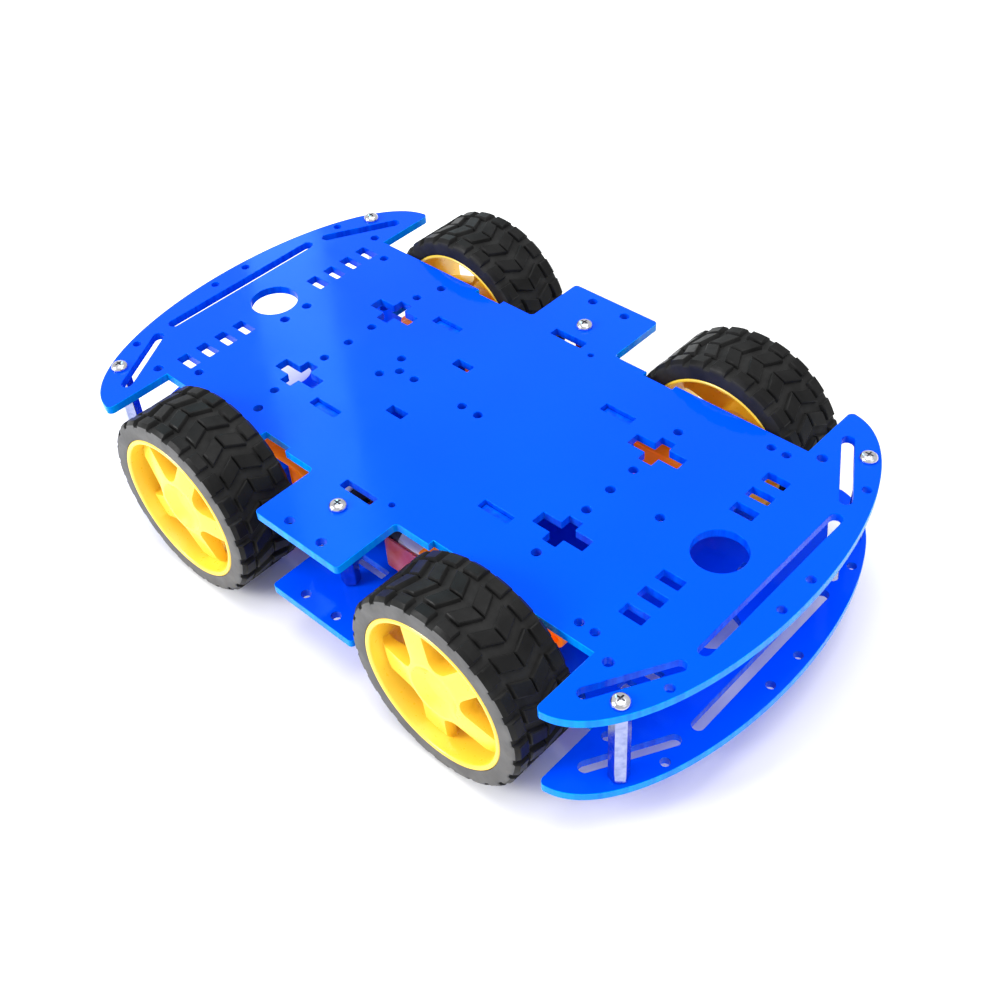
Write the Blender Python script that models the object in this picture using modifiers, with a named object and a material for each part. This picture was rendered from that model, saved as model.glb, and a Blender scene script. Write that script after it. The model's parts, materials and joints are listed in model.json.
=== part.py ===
"""Four wheel robot chassis: two acrylic decks on hexagonal standoffs, with a geared motor at each corner.

Units are metres. +X is the front, +Y is the left side, +Z is up, and the floor is z = 0 under the middle of
the object. Each corner's drive is built in a frame of its own: its origin is the middle of the wheel, its +Y
points away from the car and its -X points along the motor, towards the middle of the car.
"""
import math

import bmesh
import bpy
from mathutils import Matrix, Vector

COLLECTION_NAME = "four_wheel_robot_chassis"
CLEARANCE = 0.0003

# Wheels
WHEEL_RADIUS = 0.0330
WHEEL_WIDTH = 0.0260
AXLE_X = 0.0583
AXLE_Z = WHEEL_RADIUS
WHEEL_CENTRE_Y = 0.0671
WHEEL_SEGMENTS = 36
TYRE_HALF_WIDTH = 0.0128
TREAD_HALF_WIDTH = 0.0105
TYRE_EDGE_RADIUS = 0.0320
TYRE_BORE_RADIUS = 0.0273
RIM_RADIUS = 0.0270
BARREL_INNER_RADIUS = 0.0256
WEB_INNER_Y = 0.0055
WEB_OUTER_Y = 0.0090
HUB_RADIUS = 0.0105
HUB_OUTER_Y = 0.0114
DISH_RADIUS = 0.0090
DISH_FLOOR_RADIUS = 0.0049
DISH_FLOOR_Y = 0.0089
HUB_INNER_Y = -0.0150
BOSS_RADIUS = 0.0048
HUB_BORE_DEPTH = 0.0090
SPOKE_COUNT = 5
SPOKE_HALF_WIDTH = 0.0043
WINDOW_INNER_RADIUS = 0.0108
WINDOW_OUTER_RADIUS = 0.0247

# Decks
DECK_THICKNESS = 0.0030
DECK_GAP = 0.0300
DECK_TOP_Z = AXLE_Z + 0.0212
BODY_HALF_WIDTH = 0.0516
TAB_HALF_LENGTH = 0.0185
TAB_HALF_WIDTH = 0.0756
WELL_END_X = 0.0943
BUMPER_CENTRE_X = 0.0945
BUMPER_DEPTH = 0.0330
BUMPER_HALF_WIDTH = 0.0757
CORNER_RADIUS = 0.0015
TIP_RADIUS = 0.0020
SCREW_HOLE_RADIUS = 0.0017

# Geared motors
GEARBOX_HALF_HEIGHT = 0.01125
GEARBOX_THICKNESS = 0.0188
GEARBOX_TAIL = 0.0340
GEARBOX_CENTRE_Y = 0.0401
TAIL_HALF_HEIGHT = 0.0106
TAIL_LENGTH = 0.0065
TAIL_STEP_LENGTH = 0.0010
LUG_LENGTH = 0.0050
LUG_HALF_HEIGHT = 0.0040
LUG_THICKNESS = 0.0030
LUG_OVERLAP = 0.0020
CAN_RADIUS = 0.0100
CAN_HALF_THICKNESS = 0.0075
CAN_LENGTH = 0.0112
END_CAP_LENGTH = 0.0050
SHAFT_LENGTH = 0.0372
SHAFT_RADIUS = 0.0027
SHAFT_HALF_FLAT = 0.00185
STRAP_THICKNESS = 0.0008
STRAP_HALF_HEIGHT = 0.0065
STRAP_BEND_RADIUS = 0.0020
STRAP_END_GAP = 0.0010
BOLT_OFFSET_X = -0.0202
BOLT_HALF_SPACING = 0.00875
BOLT_SHANK_RADIUS = 0.0014
BOLT_LENGTH = 0.0300
BOLT_HEAD_RADIUS = 0.0027
BOLT_HEAD_HEIGHT = 0.0021
NUT_RADIUS = 0.0031
NUT_HEIGHT = 0.0024

# Motor brackets
BRACKET_THICKNESS = 0.0030
STEM_HALF_WIDTH = 0.0056
NECK_HALF_WIDTH = 0.0034
NECK_Z = 0.0275
FOOT_HALF_WIDTH = 0.0100
FOOT_HEIGHT = 0.0055
INNER_BRACKET_TOP_Z = DECK_TOP_Z - 0.0015
OUTER_BRACKET_TOP_Z = AXLE_Z + 0.0119
BRACKET_SLOT_LENGTH = 0.0120
BRACKET_SLOT_WIDTH = 0.0036
NOTCH_Y = 0.0495

# Standoffs and their screws
STANDOFF_ACROSS_FLATS = 0.0055
STANDOFF_TURN = math.radians(16)
STANDOFF_BORE_DEPTH = 0.0075
SHANK_RADIUS = 0.00135
SHANK_LENGTH = 0.0080
HEAD_RADIUS = 0.0029
HEAD_HEIGHT = 0.0020
BUMPER_STANDOFF = (0.1100, 0.0600)
TAB_STANDOFF_Y = 0.0580

BLUE = (0.0, 0.09, 0.95)
YELLOW = (0.95, 0.62, 0.03)
BLACK = (0.02, 0.02, 0.02)
SILVER = (0.75, 0.75, 0.76)
CLEAR = (0.85, 0.78, 0.78)
IVORY = (0.85, 0.82, 0.74)

# Looks: colour, roughness, metallic
ACRYLIC = (BLUE, 0.12, 0.0)
YELLOW_PLASTIC = (YELLOW, 0.38, 0.0)
RUBBER = (BLACK, 0.75, 0.0)
NICKEL = (SILVER, 0.22, 1.0)
CLEAR_PLASTIC = (CLEAR, 0.15, 0.0)
IVORY_PLASTIC = (IVORY, 0.45, 0.0)

# Corner name -> (side of the car along X, side along Y, angle of one spoke from straight ahead)
CORNERS = {
    "front_left": (1, 1, math.radians(20)),
    "front_right": (1, -1, math.radians(45)),
    "rear_left": (-1, 1, math.radians(50)),
    "rear_right": (-1, -1, math.radians(69)),
}


def clear_scene():
    for obj in list(bpy.data.objects):
        bpy.data.objects.remove(obj)
    for collection in list(bpy.data.collections):
        bpy.data.collections.remove(collection)


def make_collection(name):
    collection = bpy.data.collections.new(name)
    bpy.context.scene.collection.children.link(collection)
    return collection


def make_material(name, colour, roughness, metallic):
    material = bpy.data.materials.new(name)
    material.use_nodes = True
    shader = material.node_tree.nodes["Principled BSDF"]
    shader.inputs["Base Color"].default_value = (*colour, 1.0)
    shader.inputs["Roughness"].default_value = roughness
    shader.inputs["Metallic"].default_value = metallic
    return material


# Outlines: each returns a list of (x, y) points, counter-clockwise

def arc(centre, radius, start, end, steps):
    points = []
    for step in range(steps + 1):
        angle = start + (end - start) * step / steps
        points.append((centre[0] + radius * math.cos(angle), centre[1] + radius * math.sin(angle)))
    return points


def circle(x, y, radius, segments=8):
    return arc((x, y), radius, 0.0, 2 * math.pi * (1 - 1 / segments), segments - 1)


def rectangle(x, y, length, width):
    half_length, half_width = length / 2, width / 2
    return [
        (x - half_length, y - half_width),
        (x + half_length, y - half_width),
        (x + half_length, y + half_width),
        (x - half_length, y + half_width),
    ]


def round_slot(start, end, width, end_steps=4):
    """A slot with round ends, whose end centres are start and end."""
    heading = math.atan2(end[1] - start[1], end[0] - start[0])
    quarter = math.pi / 2
    return (arc(end, width / 2, heading - quarter, heading + quarter, end_steps)
            + arc(start, width / 2, heading + quarter, heading + 3 * quarter, end_steps))


def cross(x, y, length, height, bar_width):
    half_length, half_height, half_bar = length / 2, height / 2, bar_width / 2
    quadrant = [(half_length, half_bar), (half_bar, half_bar), (half_bar, half_height)]
    points = []
    for turn_x, turn_y, reverse in ((1, 1, False), (-1, 1, True), (-1, -1, False), (1, -1, True)):
        corner = reversed(quadrant) if reverse else quadrant
        points += [(x + turn_x * px, y + turn_y * py) for px, py in corner]
    return points


def mirrored(points, side_x, side_y):
    """The outline mirrored to another quadrant, kept counter-clockwise."""
    flipped = [(side_x * x, side_y * y) for x, y in points]
    return flipped if side_x * side_y > 0 else flipped[::-1]


def bumper_point(angle):
    return (BUMPER_CENTRE_X + BUMPER_DEPTH * math.cos(angle), BUMPER_HALF_WIDTH * math.sin(angle))


def deck_quadrant():
    """The deck's edge over the front left quadrant, from the bumper's front to the outer side of the tab."""
    steps = 15
    sweep = math.radians(86)
    points = [bumper_point(sweep * step / steps) for step in range(steps + 1)]
    tip = (WELL_END_X + TIP_RADIUS, BUMPER_HALF_WIDTH - TIP_RADIUS)
    points += arc(tip, TIP_RADIUS, math.radians(100), math.radians(180), 3)
    points += [(WELL_END_X, BODY_HALF_WIDTH)]
    slot_x = AXLE_X + BOLT_OFFSET_X
    for x, y in ((slot_x + BRACKET_SLOT_LENGTH / 2, BODY_HALF_WIDTH),
                 (slot_x + BRACKET_SLOT_LENGTH / 2, NOTCH_Y),
                 (slot_x - BRACKET_SLOT_LENGTH / 2, NOTCH_Y),
                 (slot_x - BRACKET_SLOT_LENGTH / 2, BODY_HALF_WIDTH)):
        points.append((x, y))
    inner = (TAB_HALF_LENGTH + CORNER_RADIUS, BODY_HALF_WIDTH + CORNER_RADIUS)
    points += arc(inner, CORNER_RADIUS, math.radians(270), math.radians(180), 2)
    corner = (TAB_HALF_LENGTH - CORNER_RADIUS, TAB_HALF_WIDTH - CORNER_RADIUS)
    points += arc(corner, CORNER_RADIUS, 0.0, math.radians(90), 3)
    return points


def deck_edge():
    quadrant = deck_quadrant()
    front_left = quadrant[1:]
    edge = [quadrant[0]] + front_left
    edge += mirrored(front_left, -1, 1) + [(-quadrant[0][0], 0.0)]
    edge += mirrored(front_left, -1, -1) + mirrored(front_left, 1, -1)
    return edge


def deck_round_holes():
    """Centres and radii of the round holes that both decks share."""
    holes = []
    four_fold = [
        (*BUMPER_STANDOFF, SCREW_HOLE_RADIUS),
        (0.0992, 0.0516, 0.0017),
        (0.1167, 0.0480, 0.0015),
        (0.1237, 0.0072, 0.0015),
        (AXLE_X, 0.0112, 0.0016),
        (AXLE_X, 0.0338, 0.0016),
        (0.0071, 0.0712, 0.0017),
    ]
    for x, y, radius in four_fold:
        holes += [(side_x * x, side_y * y, radius) for side_x in (1, -1) for side_y in (1, -1)]
    left_and_right = [
        (0.0, TAB_STANDOFF_Y, SCREW_HOLE_RADIUS),
        (0.0120, 0.0469, 0.0011),
        (-0.0862, 0.0440, 0.0016),
        (-0.0553, 0.0434, 0.0017),
        (-0.0862, 0.0052, 0.0017),
        (-0.0371, 0.0052, 0.0016),
        (0.0846, 0.0460, 0.0015),
        (0.0901, 0.0460, 0.0015),
    ]
    for x, y, radius in left_and_right:
        holes += [(x, side_y * y, radius) for side_y in (1, -1)]
    for x in (-AXLE_X, -0.0327, -0.0257, -0.0035, 0.0036, AXLE_X, 0.0770):
        holes.append((x, 0.0, 0.0016))
    return holes


def deck_cut_outs():
    """Outlines of every opening in a deck."""
    cut_outs = [circle(x, y, radius) for x, y, radius in deck_round_holes()]
    big_circle_x = 0.0982
    pitch = 0.0082
    for side_x in (1, -1):
        cut_outs.append(circle(side_x * big_circle_x, 0.0, 0.0086, 20))
        cut_outs.append(round_slot((side_x * 0.1162, -0.0320), (side_x * 0.1162, 0.0320), 0.0040))
        for side_y in (1, -1):
            slot_x = side_x * (AXLE_X + BOLT_OFFSET_X)
            cut_outs.append(rectangle(slot_x, side_y * 0.0289, BRACKET_SLOT_LENGTH, BRACKET_SLOT_WIDTH))
            cut_outs.append(cross(side_x * 0.0586, side_y * 0.0225, 0.0192, 0.0126, 0.0052))
            side_slot = round_slot((0.1009, 0.0636), (0.1143, 0.0404), 0.0040)
            cut_outs.append(mirrored(side_slot, side_x, side_y))
            vent_count = 3 if side_x > 0 else 4
            for index in range(vent_count):
                cut_outs.append(rectangle(side_x * 0.0942, side_y * (0.0177 + index * pitch), 0.0080, 0.0043))
    for side_y in (1, -1):
        cut_outs.append(rectangle(-0.0180, side_y * 0.0156, 0.0072, 0.0036))
        cut_outs.append(rectangle(0.0, side_y * 0.0495, 0.0136, 0.0036))
    return cut_outs


# Solids

def weld(mesh):
    work = bmesh.new()
    work.from_mesh(mesh)
    bmesh.ops.remove_doubles(work, verts=work.verts, dist=1e-6)
    bmesh.ops.recalc_face_normals(work, faces=work.faces)
    work.to_mesh(mesh)
    work.free()


def baked_mesh(obj):
    """The object's evaluated mesh, welded; the object itself is removed."""
    depsgraph = bpy.context.evaluated_depsgraph_get()
    mesh = bpy.data.meshes.new_from_object(obj.evaluated_get(depsgraph))
    bpy.data.objects.remove(obj)
    weld(mesh)
    return mesh


def extruded(outlines, thickness):
    """A flat sheet in the XY plane from closed outlines; inner outlines become openings."""
    curve = bpy.data.curves.new("outline", "CURVE")
    curve.dimensions = "2D"
    curve.fill_mode = "BOTH"
    curve.extrude = thickness / 2
    for points in outlines:
        spline = curve.splines.new("POLY")
        spline.points.add(len(points) - 1)
        for target, (x, y) in zip(spline.points, points):
            target.co = (x, y, 0.0, 1.0)
        spline.use_cyclic_u = True
    sheet = bpy.data.objects.new("outline", curve)
    bpy.context.scene.collection.objects.link(sheet)
    return baked_mesh(sheet)


def turned(profile, segments, closed):
    """A profile of (radius, height) points turned about Z. It runs down the outer side, top to bottom."""
    mesh = bpy.data.meshes.new("profile")
    count = len(profile)
    edges = [(index, (index + 1) % count) for index in range(count if closed else count - 1)]
    mesh.from_pydata([(radius, 0.0, height) for radius, height in profile], edges, [])
    obj = bpy.data.objects.new("profile", mesh)
    bpy.context.scene.collection.objects.link(obj)
    screw = obj.modifiers.new("turn", "SCREW")
    screw.axis = "Z"
    screw.angle = 2 * math.pi
    screw.steps = segments
    screw.render_steps = segments
    screw.use_merge_vertices = True
    screw.merge_threshold = 1e-5
    return baked_mesh(obj)


def along_y(mesh):
    """Turns the mesh so that its +Z becomes +Y."""
    mesh.transform(Matrix.Rotation(-math.pi / 2, 4, "X"))
    return mesh


def moved(mesh, x=0.0, y=0.0, z=0.0):
    mesh.transform(Matrix.Translation(Vector((x, y, z))))
    return mesh


def combined(mesh, others, operation, cutters):
    """The mesh after an exact Boolean with each of the other meshes."""
    obj = bpy.data.objects.new("body", mesh)
    bpy.context.scene.collection.objects.link(obj)
    for number, other in enumerate(others):
        tool = bpy.data.objects.new(f"cutter_{other.name}", other)
        tool.hide_render = True
        tool.display_type = "WIRE"
        cutters.objects.link(tool)
        boolean = obj.modifiers.new(f"cut_{number}", "BOOLEAN")
        boolean.operation = operation
        boolean.solver = "EXACT"
        boolean.object = tool
    result = baked_mesh(obj)
    for tool in list(cutters.objects):
        bpy.data.objects.remove(tool)
    return result


def shade(mesh, angle=math.radians(35)):
    mesh.shade_smooth()
    mesh.set_sharp_from_angle(angle=angle)
    return mesh


class Builder:
    """Puts finished meshes into the object's collection, each as a named node with its own material."""

    def __init__(self):
        self.parts = make_collection(COLLECTION_NAME)
        self.cutters = make_collection(f"{COLLECTION_NAME}_cutters")

    def add(self, name, mesh, look, parent=None, matrix=None):
        obj = bpy.data.objects.new(name, mesh.copy())
        colour, roughness, metallic = look
        obj.data.materials.clear()
        obj.data.materials.append(make_material(f"{name}_material", colour, roughness, metallic))
        self.parts.objects.link(obj)
        obj.parent = parent
        obj.matrix_local = matrix or Matrix.Identity(4)
        return obj

    def add_empty(self, name, matrix, parent=None):
        empty = bpy.data.objects.new(name, None)
        empty.empty_display_size = 0.01
        self.parts.objects.link(empty)
        empty.parent = parent
        empty.matrix_local = matrix
        return empty


def tyre_mesh():
    profile = [
        (TYRE_EDGE_RADIUS, TYRE_HALF_WIDTH),
        (WHEEL_RADIUS, TREAD_HALF_WIDTH),
        (WHEEL_RADIUS, -TREAD_HALF_WIDTH),
        (TYRE_EDGE_RADIUS, -TYRE_HALF_WIDTH),
        (TYRE_BORE_RADIUS, -TYRE_HALF_WIDTH),
        (TYRE_BORE_RADIUS, TYRE_HALF_WIDTH),
    ]
    return shade(along_y(turned(profile, WHEEL_SEGMENTS, closed=True)))


def window_outline(middle_angle):
    """One opening between two spokes, whose sides run parallel to the spokes."""
    half_pitch = math.pi / SPOKE_COUNT
    inner_half = half_pitch - math.asin(SPOKE_HALF_WIDTH / WINDOW_INNER_RADIUS)
    outer_half = half_pitch - math.asin(SPOKE_HALF_WIDTH / WINDOW_OUTER_RADIUS)
    outer = arc((0, 0), WINDOW_OUTER_RADIUS, middle_angle - outer_half, middle_angle + outer_half, 5)
    inner = arc((0, 0), WINDOW_INNER_RADIUS, middle_angle + inner_half, middle_angle - inner_half, 2)
    return outer + inner


def double_d(radius, half_flat):
    """A round section with two flats."""
    flat_angle = math.asin(half_flat / radius)
    right = arc((0, 0), radius, -flat_angle, flat_angle, 3)
    left = arc((0, 0), radius, math.pi - flat_angle, math.pi + flat_angle, 3)
    return right + left


def rim_mesh(cutters):
    half = WHEEL_WIDTH / 2
    profile = [
        (RIM_RADIUS, half),
        (RIM_RADIUS, -half),
        (BARREL_INNER_RADIUS, -half),
        (BARREL_INNER_RADIUS, WEB_INNER_Y),
        (HUB_RADIUS, WEB_INNER_Y),
        (BOSS_RADIUS, 0.0),
        (BOSS_RADIUS, HUB_INNER_Y),
        (0.0, HUB_INNER_Y),
        (0.0, DISH_FLOOR_Y),
        (DISH_FLOOR_RADIUS, DISH_FLOOR_Y),
        (DISH_RADIUS, HUB_OUTER_Y),
        (HUB_RADIUS, HUB_OUTER_Y),
        (HUB_RADIUS, WEB_OUTER_Y),
        (BARREL_INNER_RADIUS, WEB_OUTER_Y),
        (BARREL_INNER_RADIUS, half),
    ]
    solid = along_y(turned(profile, WHEEL_SEGMENTS, closed=True))
    half_pitch = math.pi / SPOKE_COUNT
    windows = [window_outline(half_pitch * (2 * index + 1)) for index in range(SPOKE_COUNT)]
    window_cutter = along_y(extruded(windows, 3 * (WEB_OUTER_Y - WEB_INNER_Y)))
    moved(window_cutter, y=(WEB_OUTER_Y + WEB_INNER_Y) / 2)
    bore = double_d(SHAFT_RADIUS + CLEARANCE, SHAFT_HALF_FLAT + CLEARANCE)
    bore_cutter = along_y(extruded([bore], 2 * HUB_BORE_DEPTH))
    moved(bore_cutter, y=HUB_INNER_Y)
    return shade(combined(solid, [window_cutter, bore_cutter], "DIFFERENCE", cutters))


def shaft_mesh():
    return shade(along_y(extruded([double_d(SHAFT_RADIUS, SHAFT_HALF_FLAT)], SHAFT_LENGTH)))


def gearbox_outline():
    """Side view in local X and Z: a round nose about the shaft and a slightly lower tail at the motor end."""
    nose = arc((0, 0), GEARBOX_HALF_HEIGHT, -math.pi / 2, math.pi / 2, 12)
    shoulder_x = TAIL_LENGTH - GEARBOX_TAIL
    top = [
        (shoulder_x, GEARBOX_HALF_HEIGHT),
        (shoulder_x - TAIL_STEP_LENGTH, TAIL_HALF_HEIGHT),
        (-GEARBOX_TAIL, TAIL_HALF_HEIGHT),
    ]
    bottom = [(x, -z) for x, z in reversed(top)]
    return nose + top + bottom


def gearbox_mesh(cutters):
    bores = [circle(0.0, 0.0, SHAFT_RADIUS + CLEARANCE, 12)]
    for side in (1, -1):
        bores.append(circle(BOLT_OFFSET_X, side * BOLT_HALF_SPACING, SCREW_HOLE_RADIUS))
    body = along_y(extruded([gearbox_outline()] + bores, GEARBOX_THICKNESS))
    lug_centre_x = GEARBOX_HALF_HEIGHT + LUG_LENGTH - LUG_HALF_HEIGHT
    lug_outline = [(GEARBOX_HALF_HEIGHT - LUG_OVERLAP, -LUG_HALF_HEIGHT)]
    lug_outline += arc((lug_centre_x, 0.0), LUG_HALF_HEIGHT, -math.pi / 2, math.pi / 2, 8)
    lug_outline += [(GEARBOX_HALF_HEIGHT - LUG_OVERLAP, LUG_HALF_HEIGHT)]
    lug_hole = circle(lug_centre_x + 0.0005, 0.0, 0.0015)
    lug = along_y(extruded([lug_outline, lug_hole], LUG_THICKNESS))
    return shade(combined(body, [lug], "UNION", cutters))


def can_section(radius, half_thickness):
    """Round motor section with a flat on each side, in local Y and Z."""
    flat_angle = math.acos(half_thickness / radius)
    top = arc((0, 0), radius, flat_angle, math.pi - flat_angle, 8)
    return top + [(x, -z) for x, z in reversed(top)]


def motor_mesh(cutters):
    """Steel can, then the narrower end cap. Its section is in local Y and Z."""
    can = extruded([can_section(CAN_RADIUS, CAN_HALF_THICKNESS)], CAN_LENGTH)
    cap_section = can_section(CAN_RADIUS - 0.0008, CAN_HALF_THICKNESS - 0.0004)
    overlap = 0.0010
    cap = extruded([cap_section], END_CAP_LENGTH + overlap)
    moved(cap, z=-(CAN_LENGTH + END_CAP_LENGTH - overlap) / 2)
    solid = combined(can, [cap], "UNION", cutters)
    solid.transform(Matrix(((0, 0, 1, 0), (1, 0, 0, 0), (0, 1, 0, 0), (0, 0, 0, 1))))
    return shade(solid)


def strap_mesh():
    """Clear strip that runs along one flat of the motor, round its end cap and back along the other flat."""
    inner_half = CAN_HALF_THICKNESS + CLEARANCE
    outer_half = inner_half + STRAP_THICKNESS
    start_x = -GEARBOX_TAIL - CLEARANCE
    end_x = start_x - CAN_LENGTH - END_CAP_LENGTH - STRAP_END_GAP
    bend = STRAP_BEND_RADIUS
    outer_bend = bend + STRAP_THICKNESS
    inside = [(start_x, inner_half)]
    inside += arc((end_x + bend, inner_half - bend), bend, math.radians(90), math.radians(180), 3)
    outside = arc((end_x + bend, inner_half - bend), outer_bend, math.radians(180), math.radians(90), 3)
    outside += [(start_x, outer_half)]
    outline = inside + [(x, -y) for x, y in reversed(inside)]
    outline += [(x, -y) for x, y in reversed(outside)] + outside
    return shade(extruded([outline], 2 * STRAP_HALF_HEIGHT))


def pan_head_screw(head_radius, head_height, shank_radius, shank_length):
    """Head above z = 0, shank below it."""
    profile = [
        (0.0, head_height),
        (head_radius * 0.62, head_height * 0.95),
        (head_radius, head_height * 0.40),
        (head_radius, 0.0),
        (shank_radius, 0.0),
        (shank_radius, -shank_length),
        (0.0, -shank_length),
    ]
    return turned(profile, 8, closed=False)


def motor_bolt_mesh(cutters):
    """Bolt along local Y with its head outwards, and the nut that holds it at the inner bracket."""
    bolt = pan_head_screw(BOLT_HEAD_RADIUS, BOLT_HEAD_HEIGHT, BOLT_SHANK_RADIUS, BOLT_LENGTH)
    nut = extruded([circle(0.0, 0.0, NUT_RADIUS, 6)], NUT_HEIGHT)
    grip = GEARBOX_THICKNESS + 2 * BRACKET_THICKNESS + 4 * CLEARANCE
    moved(nut, z=-(grip + NUT_HEIGHT / 2))
    return shade(along_y(combined(bolt, [nut], "UNION", cutters)))


def standoff_mesh(cutters):
    length = DECK_GAP - 2 * CLEARANCE
    corner_radius = STANDOFF_ACROSS_FLATS / math.sqrt(3)
    bar = extruded([circle(0.0, 0.0, corner_radius, 6)], length)
    bores = []
    for side in (1, -1):
        bore = extruded([circle(0.0, 0.0, SHANK_RADIUS + CLEARANCE)], 2 * STANDOFF_BORE_DEPTH)
        bores.append(moved(bore, z=side * length / 2))
    return shade(combined(bar, bores, "DIFFERENCE", cutters))


def bracket_mesh(stem_edge):
    """T-shaped bracket standing in the XZ plane, with its foot under the lower deck.

    stem_edge is the right edge of the stem, from its first corner above the deck to its top.
    """
    under_deck = DECK_TOP_Z - 2 * DECK_THICKNESS - DECK_GAP - CLEARANCE
    right = [
        (FOOT_HALF_WIDTH, under_deck - FOOT_HEIGHT),
        (FOOT_HALF_WIDTH, under_deck),
        (STEM_HALF_WIDTH, under_deck),
    ] + stem_edge
    outline = right + [(-x, z) for x, z in reversed(right)]
    holes = [circle(0.0, AXLE_Z + side * BOLT_HALF_SPACING, SCREW_HOLE_RADIUS) for side in (1, -1)]
    mesh = extruded([outline] + holes, BRACKET_THICKNESS)
    mesh.transform(Matrix.Rotation(math.pi / 2, 4, "X"))
    return mesh


def corner_matrix(side_x, side_y):
    """Frame of one corner's drive: the front left drive's, or that one after a half turn about one axis."""
    if side_x > 0 and side_y > 0:
        turn = Matrix.Identity(4)
    elif side_x > 0:
        turn = Matrix.Rotation(math.pi, 4, "X")
    elif side_y > 0:
        turn = Matrix.Rotation(math.pi, 4, "Y")
    else:
        turn = Matrix.Rotation(math.pi, 4, "Z")
    place = Matrix.Translation(Vector((side_x * AXLE_X, side_y * WHEEL_CENTRE_Y, AXLE_Z)))
    return place @ turn


def wheel_turn(matrix, spoke_angle):
    """Turn about local Y that brings the spoke on local +X to spoke_angle, seen from the car's right side."""
    target = Vector((math.cos(spoke_angle), 0.0, math.sin(spoke_angle)))
    local = matrix.to_3x3().inverted() @ target
    return Matrix.Rotation(-math.atan2(local.z, local.x), 4, "Y")


def build_decks(builder):
    sheet = extruded([deck_edge()] + deck_cut_outs(), DECK_THICKNESS)
    shade(sheet)
    for name, top_z in (("upper_deck", DECK_TOP_Z), ("lower_deck", DECK_TOP_Z - DECK_THICKNESS - DECK_GAP)):
        place = Matrix.Translation(Vector((0.0, 0.0, top_z - DECK_THICKNESS / 2)))
        builder.add(name, sheet, ACRYLIC, matrix=place)


def standoff_places():
    x, y = BUMPER_STANDOFF
    return {
        "front_left": (x, y),
        "front_right": (x, -y),
        "mid_left": (0.0, TAB_STANDOFF_Y),
        "mid_right": (0.0, -TAB_STANDOFF_Y),
        "rear_left": (-x, y),
        "rear_right": (-x, -y),
    }


def build_standoffs(builder):
    standoff = standoff_mesh(builder.cutters)
    screw = shade(pan_head_screw(HEAD_RADIUS, HEAD_HEIGHT, SHANK_RADIUS, SHANK_LENGTH))
    middle_z = DECK_TOP_Z - DECK_THICKNESS - DECK_GAP / 2
    upper_z = DECK_TOP_Z + CLEARANCE
    lower_z = DECK_TOP_Z - 2 * DECK_THICKNESS - DECK_GAP - CLEARANCE
    turn = Matrix.Rotation(STANDOFF_TURN + math.pi / 6, 4, "Z")
    upside_down = Matrix.Rotation(math.pi, 4, "X")
    for name, (x, y) in standoff_places().items():
        builder.add(f"{name}_standoff", standoff, NICKEL, matrix=Matrix.Translation((x, y, middle_z)) @ turn)
        builder.add(f"{name}_upper_screw", screw, NICKEL, matrix=Matrix.Translation((x, y, upper_z)))
        place = Matrix.Translation((x, y, lower_z)) @ upside_down
        builder.add(f"{name}_lower_screw", screw, NICKEL, matrix=place)


def build_brackets(builder):
    inner = bracket_mesh([(STEM_HALF_WIDTH, INNER_BRACKET_TOP_Z)])
    outer = bracket_mesh([
        (STEM_HALF_WIDTH, NECK_Z),
        (NECK_HALF_WIDTH, NECK_Z),
        (NECK_HALF_WIDTH, OUTER_BRACKET_TOP_Z),
    ])
    offset = GEARBOX_THICKNESS / 2 + CLEARANCE + BRACKET_THICKNESS / 2
    for name, (side_x, side_y, _) in CORNERS.items():
        x = side_x * (AXLE_X + BOLT_OFFSET_X)
        for which, mesh, side in (("inner", inner, -1), ("outer", outer, 1)):
            place = Matrix.Translation((x, side_y * (GEARBOX_CENTRE_Y + side * offset), 0.0))
            builder.add(f"{name}_{which}_bracket", mesh, ACRYLIC, matrix=place)


def build_drives(builder):
    tyre = tyre_mesh()
    rim = rim_mesh(builder.cutters)
    shaft = shaft_mesh()
    gearbox = gearbox_mesh(builder.cutters)
    motor = motor_mesh(builder.cutters)
    strap = strap_mesh()
    bolt = motor_bolt_mesh(builder.cutters)
    gearbox_y = GEARBOX_CENTRE_Y - WHEEL_CENTRE_Y
    gearbox_place = Matrix.Translation((0.0, gearbox_y, 0.0))
    motor_place = Matrix.Translation((-(GEARBOX_TAIL + CLEARANCE + CAN_LENGTH / 2), gearbox_y, 0.0))
    head_y = gearbox_y + GEARBOX_THICKNESS / 2 + BRACKET_THICKNESS + 2 * CLEARANCE
    for name, (side_x, side_y, spoke_angle) in CORNERS.items():
        matrix = corner_matrix(side_x, side_y)
        drive = builder.add_empty(f"{name}_drive", matrix)
        wheel = builder.add_empty(f"{name}_wheel", wheel_turn(matrix, spoke_angle), drive)
        builder.add(f"{name}_tyre", tyre, RUBBER, wheel)
        builder.add(f"{name}_rim", rim, YELLOW_PLASTIC, wheel)
        builder.add(f"{name}_shaft", shaft, IVORY_PLASTIC, wheel, gearbox_place)
        builder.add(f"{name}_gearbox", gearbox, YELLOW_PLASTIC, drive, gearbox_place)
        builder.add(f"{name}_motor", motor, NICKEL, drive, motor_place)
        builder.add(f"{name}_strap", strap, CLEAR_PLASTIC, drive, gearbox_place)
        for which, side in (("first", 1), ("second", -1)):
            place = Matrix.Translation((BOLT_OFFSET_X, head_y, side * BOLT_HALF_SPACING))
            builder.add(f"{name}_{which}_bolt", bolt, NICKEL, drive, place)


def main():
    clear_scene()
    builder = Builder()
    build_decks(builder)
    build_standoffs(builder)
    build_brackets(builder)
    build_drives(builder)
    bpy.context.view_layer.update()


main()
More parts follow.
